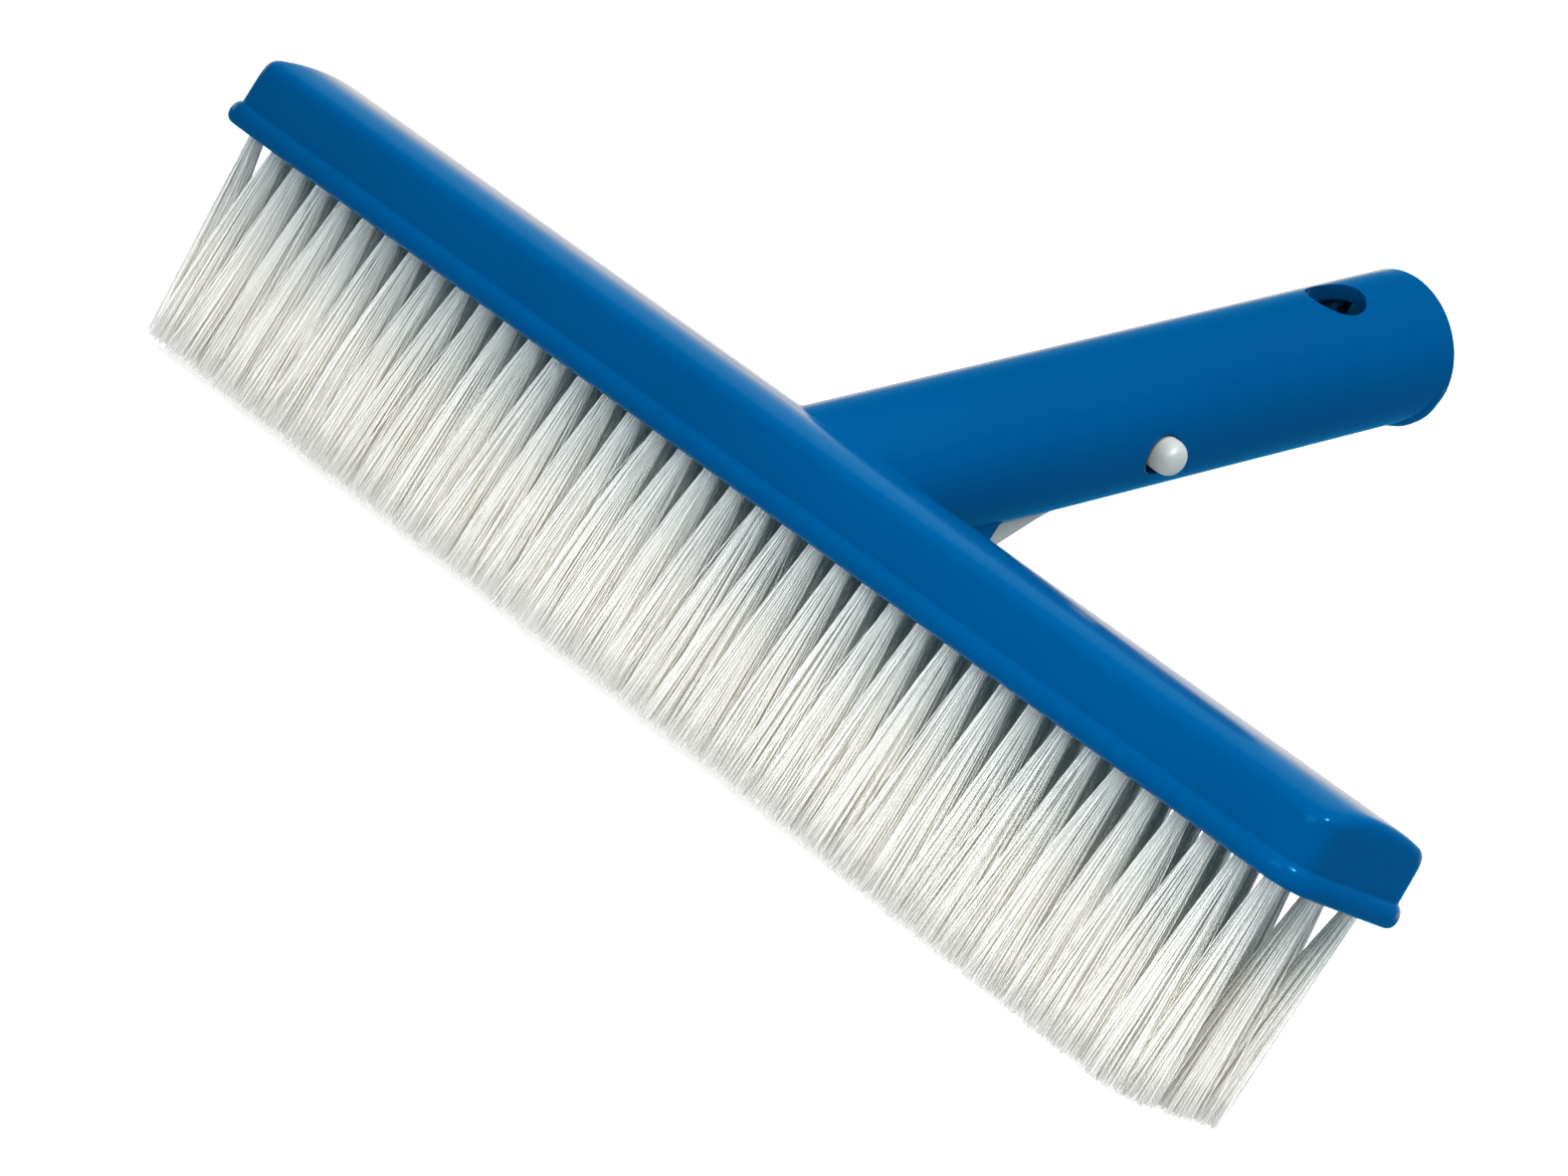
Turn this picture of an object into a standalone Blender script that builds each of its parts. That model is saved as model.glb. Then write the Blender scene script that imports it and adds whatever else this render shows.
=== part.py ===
"""Pool wall brush: one moulded back with a hollow pole handle, a spring clip and columns of nylon tufts.

Metres, +Z up. X runs along the head, the handle leans back to +Y and up, and the tips stand on z = 0.
The parts are built with the middle of the head at x = y = 0, and are then moved so that the middle of
the whole part's box is there.
"""

import math

import bmesh
import bpy
from mathutils import Matrix, Vector

# Tufts: five staggered rows, the first, third and fifth with a tuft at each end of the head.
COLUMNS = 40
ROWS = 5
COLUMN_PITCH = 0.00645
ROW_PITCH = 0.0058
TIP_LENGTH = 0.0383
ROOT_RADIUS = 0.00145
ROOT_DEPTH = 0.0062
MERGE_HEIGHT = 0.011
CELL_GAP = 0.0003
ROOT_GAP = 0.0003

# Moulded back: heights are measured up from the underside of the flange.
BASE_Z = TIP_LENGTH
HEAD_LENGTH = 0.266
HEAD_WIDTH = 0.0358
PLAN_RADIUS = 0.0075
BODY_RADIUS = 0.0052
CROWN_HEIGHT = 0.0144
CROWN_DROP = 0.0015
CROWN_HALF = 0.0126
CORNER_STEPS = 6

# Pole handle: stations are measured along its axis from the middle of the head.
TILT = math.radians(27.6)
AXIS_DROP = 0.0004
TUBE_RADIUS = 0.0132
MOUTH_RADIUS = 0.01335
BORE_RADIUS = 0.0105
MOUTH_STATION = 0.1477
BORE_END = 0.027
FOOT_FILLET = 0.0022
MOUTH_ROUND = 0.0009
LIP_DROP = 0.0011
LIP_LENGTH = 0.0045
TUBE_STEPS = 40
TRIM_HEIGHT = 0.0006

# Keel below the tube: two cheeks either side of the slot for the finger tabs.
KEEL_HALF = 0.0103
KEEL_END_Y = 0.0436
SLOT_HALF = 0.0080
SLOT_STATIONS = (0.032, 0.0732)

# Holes in the tube.
BUTTON_STATION = 0.0774
BUTTON_HOLE_STATION = 0.0771
BUTTON_HOLE_RADIUS = 0.0039
BUTTON_DROP = 0.0009
TOP_HOLE_STATION = 0.1272
TOP_HOLE_RADIUS = 0.0054

# Spring clip.
BUTTON_RADIUS = 0.0032
BUTTON_REACH = 0.0167
PIVOT_STATION = 0.116
PIVOT_X = 0.0025
ARM_HALF_HEIGHT = 0.0040
# Each station of an arm: distance along the tube, inner x, outer x, lowest height, highest height.
ARM_STATIONS = (
    (0.1160, 0.0016, 0.0034, -ARM_HALF_HEIGHT, ARM_HALF_HEIGHT),
    (0.1120, 0.0018, 0.0036, -ARM_HALF_HEIGHT, ARM_HALF_HEIGHT),
    (0.0880, 0.0075, 0.0092, -ARM_HALF_HEIGHT, ARM_HALF_HEIGHT),
    (0.0830, 0.0077, 0.0095, -ARM_HALF_HEIGHT, ARM_HALF_HEIGHT),
    (0.0735, 0.0075, 0.0093, -ARM_HALF_HEIGHT, ARM_HALF_HEIGHT),
    (0.0722, 0.0068, 0.0086, -0.0042, ARM_HALF_HEIGHT),
    (0.0710, 0.0060, 0.0077, -0.0076, ARM_HALF_HEIGHT),
    (0.0570, 0.0058, 0.0075, -0.0118, 0.0039),
    (0.0560, 0.0058, 0.0075, -0.0121, 0.0037),
    (0.0420, 0.0058, 0.0075, -0.0174, 0.0020),
    (0.0406, 0.0059, 0.0074, -0.0167, 0.0010),
    (0.0400, 0.0061, 0.0072, -0.0150, -0.0004),
)

MATERIALS = {
    "blue_plastic": ((0.008, 0.105, 0.36), 0.28),
    "clip_plastic": ((0.66, 0.66, 0.63), 0.38),
    "nylon": ((0.74, 0.76, 0.70), 0.45),
}


def clear_scene():
    for obj in list(bpy.data.objects):
        bpy.data.objects.remove(obj, do_unlink=True)


def make_materials():
    made = {}
    for name, (colour, roughness) in MATERIALS.items():
        material = bpy.data.materials.new(name)
        material.use_nodes = True
        shader = material.node_tree.nodes["Principled BSDF"]
        shader.inputs["Base Color"].default_value = (*colour, 1.0)
        shader.inputs["Roughness"].default_value = roughness
        material.diffuse_color = (*colour, 1.0)
        made[name] = material
    return made


def mesh_object(name, points, faces, matrix=None):
    mesh = bpy.data.meshes.new(name)
    mesh.from_pydata([tuple(p) for p in points], [], faces)
    mesh.validate()
    bm = bmesh.new()
    bm.from_mesh(mesh)
    bmesh.ops.recalc_face_normals(bm, faces=bm.faces)
    bm.to_mesh(mesh)
    bm.free()
    if matrix is not None:
        mesh.transform(matrix)
        if matrix.determinant() < 0:
            mesh.flip_normals()
    obj = bpy.data.objects.new(name, mesh)
    bpy.context.scene.collection.objects.link(obj)
    return obj


def loft(name, rings, matrix=None):
    """One closed solid through equal rings, capped at both ends."""
    count = len(rings[0])
    points = [p for ring in rings for p in ring]
    faces = []
    for level in range(len(rings) - 1):
        low, high = level * count, (level + 1) * count
        for i in range(count):
            j = (i + 1) % count
            faces.append((low + i, low + j, high + j, high + i))
    faces.append(tuple(range(count)))
    faces.append(tuple(len(points) - 1 - i for i in range(count)))
    return mesh_object(name, points, faces, matrix)


def combine(target, tool, operation):
    """Applies one exact Boolean and removes the tool."""
    modifier = target.modifiers.new("cut", "BOOLEAN")
    modifier.operation = operation
    modifier.solver = "EXACT"
    modifier.object = tool
    graph = bpy.context.evaluated_depsgraph_get()
    mesh = bpy.data.meshes.new_from_object(target.evaluated_get(graph))
    target.modifiers.clear()
    target.data = mesh
    bpy.data.objects.remove(tool, do_unlink=True)


def finish(obj, material, sharp_degrees=32.0):
    """Welds slivers, gives the material and smooth shading with the real edges kept sharp."""
    bm = bmesh.new()
    bm.from_mesh(obj.data)
    bmesh.ops.remove_doubles(bm, verts=bm.verts, dist=2e-6)
    limit = math.radians(sharp_degrees)
    for face in bm.faces:
        face.smooth = True
    for edge in bm.edges:
        edge.smooth = len(edge.link_faces) == 2 and edge.calc_face_angle(0.0) < limit
    bm.to_mesh(obj.data)
    bm.free()
    obj.data.materials.clear()
    obj.data.materials.append(material)


def tube_frame():
    """Local X across, Y along the handle's axis, Z away from the floor side of the tube."""
    return Matrix.Translation((0, 0, BASE_Z - AXIS_DROP)) @ Matrix.Rotation(TILT, 4, "X")


def circle(radius, station, count=TUBE_STEPS, drop=0.0):
    """Ring about the handle's axis, starting at the top."""
    return [
        (radius * math.sin(a), station, radius * math.cos(a) - drop)
        for a in (2 * math.pi * i / count for i in range(count))
    ]


def rounded_rectangle(half_x, half_y, radius):
    radius = max(radius, 0.0004)
    ring = []
    for quarter, (sx, sy) in enumerate(((1, 1), (-1, 1), (-1, -1), (1, -1))):
        for step in range(CORNER_STEPS + 1):
            angle = math.pi / 2 * (quarter + step / CORNER_STEPS)
            x = sx * (half_x - radius) + radius * math.cos(angle)
            y = sy * (half_y - radius) + radius * math.sin(angle)
            ring.append((x, y))
    return ring


def crown(y):
    """Height of the domed top above the underside of the flange."""
    return CROWN_HEIGHT - CROWN_DROP * (y / CROWN_HALF) ** 2


# Insets of each ring from the flange's nose, at the ends and at the sides, and its height: first the
# flange and the drafted side.
SIDE_RINGS = (
    (0.0014, 0.0014, 0.0),
    (0.0005, 0.0005, 0.0004),
    (0.0, 0.0, 0.0013),
    (0.0, 0.0, 0.0023),
    (0.0003, 0.0003, 0.0031),
    (0.0008, 0.0008, 0.0036),
    (0.0013, 0.0013, 0.0039),
    (0.0016, 0.0016, 0.0045),
)
# Then the top of the side, the rounded shoulder and the dome, with the depth below the crown.
CROWN_RINGS = (
    (0.0017, 0.0020, 0.0022),
    (0.0019, 0.0022, 0.0012),
    (0.0023, 0.0025, 0.0006),
    (0.0029, 0.0031, 0.00022),
    (0.0037, 0.0038, 0.00005),
    (0.0050, 0.0050, 0.0),
    (0.0080, 0.0080, 0.0),
    (0.0110, 0.0110, 0.0),
    (0.0140, 0.0140, 0.0),
)


def plan_ring(end_inset, side_inset):
    """Outline at these insets. The corners of the body are tighter than those of the flange."""
    share = min(side_inset / SIDE_RINGS[-1][1], 1.0)
    radius = PLAN_RADIUS + (BODY_RADIUS - PLAN_RADIUS) * share
    if side_inset > SIDE_RINGS[-1][1]:
        radius -= side_inset - SIDE_RINGS[-1][1]
    return rounded_rectangle(HEAD_LENGTH / 2 - end_inset, HEAD_WIDTH / 2 - side_inset, radius)


def back_body():
    rings = []
    for end_inset, side_inset, height in SIDE_RINGS:
        plan = plan_ring(end_inset, side_inset)
        rings.append([(x, y, BASE_Z + height) for x, y in plan])
    for end_inset, side_inset, drop in CROWN_RINGS:
        plan = plan_ring(end_inset, side_inset)
        rings.append([(x, y, BASE_Z + crown(y) - drop) for x, y in plan])
    return loft("brush_back", rings)


def foot_station(angle, radius):
    """Where the line along the tube at this angle and radius comes out of the back, found by halving."""
    frame = tube_frame()
    low, high = -0.03, 0.06
    for _ in range(30):
        middle = (low + high) / 2
        p = frame @ Vector((radius * math.sin(angle), middle, radius * math.cos(angle)))
        inside = p.z - BASE_Z < crown(p.y) and p.y < HEAD_WIDTH / 2 - 0.0018
        low, high = (middle, high) if inside else (low, middle)
    return low


def foot_profile(angle):
    """Radius and station of the fillet's points at this angle, from the back up to the plain tube."""
    foot = foot_station(angle, TUBE_RADIUS)
    run = foot_station(angle, TUBE_RADIUS + 0.0005) - foot
    size = math.hypot(0.0005, run)
    out = (0.0005 / size, run / size)
    open_angle = math.acos(max(-1.0, min(1.0, out[1])))
    reach = min(FOOT_FILLET / math.tan(open_angle / 2), 0.0028)
    ends = ((TUBE_RADIUS + reach * out[0], foot + reach * out[1]), (TUBE_RADIUS, foot + reach))
    points = [(ends[0][0] - 0.0002 * out[1], ends[0][1] - 0.0003 - 0.0004 * abs(out[0]))]
    corner = (TUBE_RADIUS, foot)
    for t in (0.0, 0.2, 0.4, 0.6, 0.8, 1.0):
        low, mid, high = (1 - t) ** 2, 2 * t * (1 - t), t**2
        points.append([low * a + mid * b + high * c for a, b, c in zip(ends[0], corner, ends[1])])
    return points


def handle_tube():
    """Outside of the tube with a small concave fillet where it leaves the back."""
    angles = [i / TUBE_STEPS * 2 * math.pi for i in range(TUBE_STEPS)]
    profiles = [foot_profile(a) for a in angles]
    rings = []
    for level in range(len(profiles[0])):
        rings.append(
            [
                (profile[level][0] * math.sin(a), profile[level][1], profile[level][0] * math.cos(a))
                for a, profile in zip(angles, profiles)
            ]
        )
    for back, less in ((1.0, 0.0), (0.55, 0.1), (0.2, 0.45), (0.0, 1.0)):
        rings.append(
            circle(MOUTH_RADIUS - less * MOUTH_ROUND, MOUTH_STATION - back * MOUTH_ROUND)
        )
    return loft("tube", rings, tube_frame())


def mouth_lip():
    """Thin crescent that stands proud below the mouth."""
    rings = []
    for station, less in (
        (MOUTH_STATION - LIP_LENGTH, 0.0010),
        (MOUTH_STATION - LIP_LENGTH + 0.0012, 0.0001),
        (MOUTH_STATION - 0.0016, 0.0),
        (MOUTH_STATION - 0.0007, 0.0005),
    ):
        rings.append(circle(MOUTH_RADIUS - less, station, drop=LIP_DROP))
    return loft("lip", rings, tube_frame())


def keel():
    """Block under the tube that the slot divides into two cheeks."""
    profile = (
        (0.0120, TRIM_HEIGHT),
        (KEEL_END_Y - 0.0026, TRIM_HEIGHT),
        (KEEL_END_Y - 0.0008, 0.0014),
        (KEEL_END_Y, 0.0034),
        (KEEL_END_Y, 0.0090),
        (KEEL_END_Y, 0.0112),
        (KEEL_END_Y + 0.0003, 0.0127),
        (KEEL_END_Y + 0.0010, 0.0140),
        (KEEL_END_Y + 0.0022, 0.0153),
        (KEEL_END_Y + 0.0038, 0.0165),
        (KEEL_END_Y + 0.0036, 0.0220),
        (0.0120, 0.0085),
    )
    return loft(
        "keel",
        [[(x, y, BASE_Z + z) for y, z in profile] for x in (-KEEL_HALF, KEEL_HALF)],
    )


def box(name, low, high, matrix=None):
    rings = [
        [(low[0], low[1], z), (high[0], low[1], z), (high[0], high[1], z), (low[0], high[1], z)]
        for z in (low[2], high[2])
    ]
    return loft(name, rings, matrix)


def tuft_places(column):
    """Centres of one column's tufts: the last column has none in the even rows."""
    first = -(COLUMNS - 1) / 2 * COLUMN_PITCH
    for row in range(ROWS):
        if row % 2 and column == COLUMNS - 1:
            continue
        x = first + (column + 0.5 * (row % 2)) * COLUMN_PITCH
        yield x, (row - (ROWS - 1) / 2) * ROW_PITCH


def hexagon(x, y, radius, z):
    return [
        (x + radius * math.cos(a), y + radius * math.sin(a), z)
        for a in (math.pi / 6 + math.pi / 3 * i for i in range(6))
    ]


def tuft_holes():
    """Every blind hole in the underside, as one tool."""
    points, faces = [], []
    radius = ROOT_RADIUS + ROOT_GAP / math.cos(math.pi / 6)
    for column in range(COLUMNS):
        for x, y in tuft_places(column):
            start = len(points)
            points += hexagon(x, y, radius, BASE_Z - 0.002)
            points += hexagon(x, y, radius, BASE_Z + ROOT_DEPTH + ROOT_GAP)
            for i in range(6):
                j = (i + 1) % 6
                faces.append((start + i, start + j, start + 6 + j, start + 6 + i))
            faces.append(tuple(start + i for i in reversed(range(6))))
            faces.append(tuple(start + 6 + i for i in range(6)))
    return mesh_object("holes", points, faces)


def round_tool(radius, start, end, place, turn, count=24):
    """Straight round cutter from start to end along its own Z."""
    angles = [2 * math.pi * i / count for i in range(count)]
    rings = [[(radius * math.cos(a), radius * math.sin(a), z) for a in angles] for z in (start, end)]
    return loft("cutter", rings, tube_frame() @ Matrix.Translation(place) @ turn)


def brush_back(materials):
    handle = handle_tube()
    combine(handle, mouth_lip(), "UNION")
    combine(handle, keel(), "UNION")
    combine(
        handle,
        box("trim", (-0.03, -0.02, BASE_Z - 0.04), (0.03, 0.08, BASE_Z + TRIM_HEIGHT)),
        "DIFFERENCE",
    )
    body = back_body()
    combine(body, handle, "UNION")
    bore = loft(
        "bore",
        [
            circle(BORE_RADIUS - 0.0008, BORE_END),
            circle(BORE_RADIUS, BORE_END + 0.0008),
            circle(BORE_RADIUS, MOUTH_STATION - 0.0005),
            circle(BORE_RADIUS + 0.0005, MOUTH_STATION),
            circle(BORE_RADIUS + 0.0005, MOUTH_STATION + 0.003),
        ],
        tube_frame(),
    )
    combine(body, bore, "DIFFERENCE")
    slot = box(
        "slot",
        (-SLOT_HALF, SLOT_STATIONS[0], -0.03),
        (SLOT_HALF, SLOT_STATIONS[1], -0.004),
        tube_frame(),
    )
    combine(body, slot, "DIFFERENCE")
    across = Matrix.Rotation(math.pi / 2, 4, "Y")
    combine(
        body,
        round_tool(
            BUTTON_HOLE_RADIUS, -0.02, 0.02, (0, BUTTON_HOLE_STATION, -BUTTON_DROP), across
        ),
        "DIFFERENCE",
    )
    combine(
        body,
        round_tool(TOP_HOLE_RADIUS, 0.0, 0.02, (0, TOP_HOLE_STATION, 0), Matrix.Identity(4)),
        "DIFFERENCE",
    )
    combine(body, tuft_holes(), "DIFFERENCE")
    finish(body, materials["blue_plastic"])


def clip_button():
    """Round push button with a domed end, standing out along X."""
    profile = (
        (0.0086, 1.0),
        (BUTTON_REACH - 0.0027, 1.0),
        (BUTTON_REACH - 0.0016, 0.94),
        (BUTTON_REACH - 0.0008, 0.80),
        (BUTTON_REACH - 0.0002, 0.55),
        (BUTTON_REACH, 0.25),
    )
    rings = []
    for x, share in profile:
        radius = share * BUTTON_RADIUS
        rings.append(
            [
                (x, BUTTON_STATION + radius * math.cos(a), radius * math.sin(a) - BUTTON_DROP)
                for a in (2 * math.pi * i / 20 for i in range(20))
            ]
        )
    return rings


def clip_arm(name, side, materials):
    """One spring arm with its button and finger tab. Its origin lies on its hinge."""
    frame = tube_frame()
    mirror = Matrix.Diagonal((side, 1, 1, 1))
    rings = [
        [(inner, s, low), (outer, s, low), (outer, s, high), (inner, s, high)]
        for s, inner, outer, low, high in ARM_STATIONS
    ]
    arm = loft(name, rings, frame @ mirror)
    combine(arm, loft("button", clip_button(), frame @ mirror), "UNION")
    pivot = frame @ Vector((side * PIVOT_X, PIVOT_STATION, 0))
    arm.data.transform(Matrix.Translation(-pivot))
    arm.location = pivot
    finish(arm, materials["clip_plastic"])


def clip_bridge(materials):
    """Root of the V that both arms spring from, held between the top and bottom of the bore."""
    outline = (
        (0.0034, 0.1163),
        (0.0034, 0.1178),
        (0.0027, 0.1192),
        (0.0014, 0.1199),
        (-0.0014, 0.1199),
        (-0.0027, 0.1192),
        (-0.0034, 0.1178),
        (-0.0034, 0.1163),
    )
    rings = []
    for height, share in ((-0.0098, 0.8), (-0.0088, 1.0), (0.0088, 1.0), (0.0098, 0.8)):
        rings.append([(share * x, s, height) for x, s in outline])
    bridge = loft("clip_bridge", rings, tube_frame())
    finish(bridge, materials["clip_plastic"])


def cell_corners(x, y, z):
    """Six-sided cell of the staggered pattern, drawn in by half the gap between columns."""
    half_x = COLUMN_PITCH / 2
    # The slanted edges meet the upright ones at this height for staggered rows.
    side = ROW_PITCH / 2 - half_x**2 / (2 * ROW_PITCH) * 0.5
    top = ROW_PITCH / 2 + half_x**2 / (2 * ROW_PITCH) * 0.5
    shrink = CELL_GAP / 2
    hx = half_x - shrink
    sy, ty = side - shrink * 0.6, top - shrink * 1.2
    return [
        (x + hx, y + sy, z),
        (x, y + ty, z),
        (x - hx, y + sy, z),
        (x - hx, y - sy, z),
        (x, y - ty, z),
        (x + hx, y - sy, z),
    ]


def column_mesh(places):
    """Tufts as one closed solid: six-sided roots that flare and merge into one band at the tips."""
    x0 = places[0][0]
    shape, starts, links = [], [], []
    for a, (xa, ya) in enumerate(places):
        for b, (xb, yb) in enumerate(places):
            if abs(yb - ya - ROW_PITCH) < 1e-6 and abs(xb - xa) < 0.6 * COLUMN_PITCH:
                # The edge of the lower cell and the edge of the upper one that face each other.
                links.append((a, b, 0, 3) if xb > xa else (a, b, 1, 4))
    joined = {(a, i) for a, _, i, _ in links} | {(b, j) for _, b, _, j in links}
    faces = []
    for index, (x, y) in enumerate(places):
        start = len(shape)
        starts.append(start)
        shape += cell_corners(x - x0, y, -BASE_Z)
        shape += cell_corners(x - x0, y, -BASE_Z + MERGE_HEIGHT)
        shape += hexagon(x - x0, y, ROOT_RADIUS * 1.12, -0.006)
        shape += hexagon(x - x0, y, ROOT_RADIUS, 0.0)
        shape += hexagon(x - x0, y, ROOT_RADIUS, ROOT_DEPTH)
        for level in range(4):
            for i in range(6):
                if level == 0 and (index, i) in joined:
                    continue
                j = (i + 1) % 6
                low, high = start + 6 * level, start + 6 * (level + 1)
                faces.append((low + i, low + j, high + j, high + i))
        faces.append(tuple(start + i for i in reversed(range(6))))
        faces.append(tuple(start + 24 + i for i in range(6)))
    for a, b, i, j in links:
        a0, a1 = starts[a] + i, starts[a] + i + 1
        b0, b1 = starts[b] + j, starts[b] + j + 1
        faces.append((a1, a0, b1, b0))
        faces.append((a0 + 6, a1 + 6, b0 + 6, b1 + 6))
        faces.append((a0, a0 + 6, b1 + 6, b1))
        faces.append((a1, b0, b0 + 6, a1 + 6))
    return x0, shape, faces


def tuft_columns(materials):
    """Columns that share one mesh, and a last one that also holds the three tufts at the end."""
    shared = None
    for column in range(COLUMNS - 1):
        name = f"tuft_column_{column + 1:02d}"
        places = list(tuft_places(column))
        if column == COLUMNS - 2:
            places += tuft_places(COLUMNS - 1)
        x0, points, faces = column_mesh(places)
        if shared is None or column == COLUMNS - 2:
            obj = mesh_object(name, points, faces)
            finish(obj, materials["nylon"], 50.0)
            shared = shared or obj.data
        else:
            obj = bpy.data.objects.new(name, shared)
            bpy.context.scene.collection.objects.link(obj)
        obj.location = (x0, 0, BASE_Z)


def centre_on_origin():
    """Moves everything in Y so that the middle of the back's and handle's box is over the origin."""
    depth = [v.co.y for v in bpy.data.objects["brush_back"].data.vertices]
    middle = (min(depth) + max(depth)) / 2
    for obj in bpy.data.objects:
        obj.location.y -= middle


def main():
    clear_scene()
    materials = make_materials()
    brush_back(materials)
    clip_bridge(materials)
    clip_arm("clip_arm_right", 1, materials)
    clip_arm("clip_arm_left", -1, materials)
    tuft_columns(materials)
    centre_on_origin()


main()
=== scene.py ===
"""Looks of the pool wall brush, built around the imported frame. Metres, +Z up, tips on z = 0."""

import math

import bmesh
import bpy
import numpy as np
from mathutils import Matrix, Vector


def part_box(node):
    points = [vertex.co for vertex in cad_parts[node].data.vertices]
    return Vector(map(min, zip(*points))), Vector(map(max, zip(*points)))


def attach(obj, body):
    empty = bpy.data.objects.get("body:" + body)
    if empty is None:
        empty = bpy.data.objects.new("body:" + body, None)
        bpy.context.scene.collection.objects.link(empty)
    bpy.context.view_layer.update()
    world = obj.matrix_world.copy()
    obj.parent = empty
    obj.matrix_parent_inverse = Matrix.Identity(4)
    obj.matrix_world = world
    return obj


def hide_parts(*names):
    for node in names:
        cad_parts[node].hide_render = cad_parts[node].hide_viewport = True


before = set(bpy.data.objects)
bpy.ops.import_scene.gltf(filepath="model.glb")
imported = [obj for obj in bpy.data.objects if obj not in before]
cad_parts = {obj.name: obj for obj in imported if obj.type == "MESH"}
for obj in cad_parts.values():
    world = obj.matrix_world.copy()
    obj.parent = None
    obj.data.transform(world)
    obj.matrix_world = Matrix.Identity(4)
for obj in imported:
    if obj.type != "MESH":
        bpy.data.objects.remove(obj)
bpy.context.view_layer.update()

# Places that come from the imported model.
back_low, back_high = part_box("brush_back")
BASE_Z = back_low.z
HEAD_WIDTH = 0.0358
HEAD_LENGTH = back_high.x - back_low.x
HEAD_Y = back_low.y + HEAD_WIDTH / 2

# Moulded back, as insets from the nose of the flange and heights above its underside.
PLAN_RADIUS = 0.0075
BODY_RADIUS = 0.0052
CROWN_HEIGHT = 0.0144
CROWN_DROP = 0.0015
CROWN_HALF = 0.0126
SIDE_PROFILE = (
    (0.0016, 0.0016, 0.0),
    (0.0009, 0.0009, 0.00008),
    (0.0004, 0.0004, 0.00045),
    (0.0001, 0.0001, 0.0010),
    (0.0, 0.0, 0.0017),
    (0.0001, 0.0001, 0.0024),
    (0.0004, 0.0004, 0.0031),
    (0.0009, 0.0009, 0.0036),
    (0.00130, 0.00130, 0.0038),
    (0.00154, 0.00154, 0.0040),
    (0.0016, 0.0016, 0.0044),
)
CROWN_PROFILE = (
    (0.00166, 0.0018, 0.0048),
    (0.0017, 0.0019, 0.0034),
    (0.00175, 0.0020, 0.0024),
    (0.00185, 0.0021, 0.0017),
    (0.0020, 0.00228, 0.0011),
    (0.00225, 0.00252, 0.00068),
    (0.0026, 0.0029, 0.00036),
    (0.0031, 0.0034, 0.00016),
    (0.0038, 0.0041, 0.00004),
    (0.0046, 0.0048, 0.0),
)
CORNER_STEPS = 14
LONG_STEPS = 96
SHORT_STEPS = 10

# Handle, with stations along its axis from the middle of the head.
TILT = math.radians(27.6)
AXIS_DROP = 0.0004
TUBE_RADIUS = 0.0132
MOUTH_RADIUS = 0.01335
BORE_RADIUS = 0.0105
MOUTH_STATION = 0.1477
BORE_END = 0.027
FOOT_FILLET = 0.0022
FILLET_REACH = 0.0028
MOUTH_ROUND = 0.0009
LIP_DROP = 0.0011
TUBE_STEPS = 96
BUTTON_HOLE = (0.0038, 0.0769, -0.0011)  # radius, station, height off the axis
TOP_HOLE = (0.0054, 0.1272)  # radius, station
SLOT_LOW = (-0.008, 0.032, -0.03)
SLOT_HIGH = (0.008, 0.0732, -0.004)
TRIM_HEIGHT = 0.0006

# Tufts. Each hole goes a little further up into the back than its filaments do.
COLUMNS = 40
ROWS = 5
COLUMN_PITCH = 0.00645
ROW_PITCH = 0.0058
ROOT_RADIUS = 0.00145
ROOT_DEPTH = 0.0058
HOLE_DEPTH = 0.0065
HOLE_SIDES = 14
FILAMENTS = 120
FILAMENT_RADIUS = 0.00012
LEVELS = 8
GOLDEN_ANGLE = 2.39996
STRAY_SHARE = 0.035

# The longer filaments reach below z = 0, so the floor is a little lower.
FLOOR_Z = -0.0016

TUBE_FRAME = Matrix.Translation((0, HEAD_Y, BASE_Z - AXIS_DROP)) @ Matrix.Rotation(TILT, 4, "X")


# ---------------------------------------------------------------- meshes


def mesh_object(name, points, faces, matrix=None):
    mesh = bpy.data.meshes.new(name)
    mesh.from_pydata([tuple(p) for p in points], [], faces)
    bm = bmesh.new()
    bm.from_mesh(mesh)
    bmesh.ops.recalc_face_normals(bm, faces=bm.faces)
    bm.to_mesh(mesh)
    bm.free()
    if matrix is not None:
        mesh.transform(matrix)
        if matrix.determinant() < 0:
            mesh.flip_normals()
    obj = bpy.data.objects.new(name, mesh)
    bpy.context.scene.collection.objects.link(obj)
    return obj


def loft(name, rings, matrix=None):
    count = len(rings[0])
    points = [p for ring in rings for p in ring]
    faces = []
    for level in range(len(rings) - 1):
        low, high = level * count, (level + 1) * count
        for i in range(count):
            j = (i + 1) % count
            faces.append((low + i, low + j, high + j, high + i))
    faces.append(tuple(range(count)))
    faces.append(tuple(len(points) - 1 - i for i in range(count)))
    return mesh_object(name, points, faces, matrix)


def combine(target, tool, operation):
    modifier = target.modifiers.new("cut", "BOOLEAN")
    modifier.operation = operation
    modifier.solver = "EXACT"
    modifier.object = tool
    graph = bpy.context.evaluated_depsgraph_get()
    mesh = bpy.data.meshes.new_from_object(target.evaluated_get(graph))
    target.modifiers.clear()
    target.data = mesh
    bpy.data.objects.remove(tool, do_unlink=True)


def shade(obj, material, sharp_degrees=30.0):
    bm = bmesh.new()
    bm.from_mesh(obj.data)
    bmesh.ops.remove_doubles(bm, verts=bm.verts, dist=2e-6)
    limit = math.radians(sharp_degrees)
    for face in bm.faces:
        face.smooth = True
    for edge in bm.edges:
        edge.smooth = len(edge.link_faces) == 2 and edge.calc_face_angle(0.0) < limit
    bm.to_mesh(obj.data)
    bm.free()
    obj.data.materials.clear()
    obj.data.materials.append(material)


def circle(radius, station, count=TUBE_STEPS, drop=0.0):
    return [
        (radius * math.sin(a), station, radius * math.cos(a) - drop)
        for a in (2 * math.pi * i / count for i in range(count))
    ]


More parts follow.
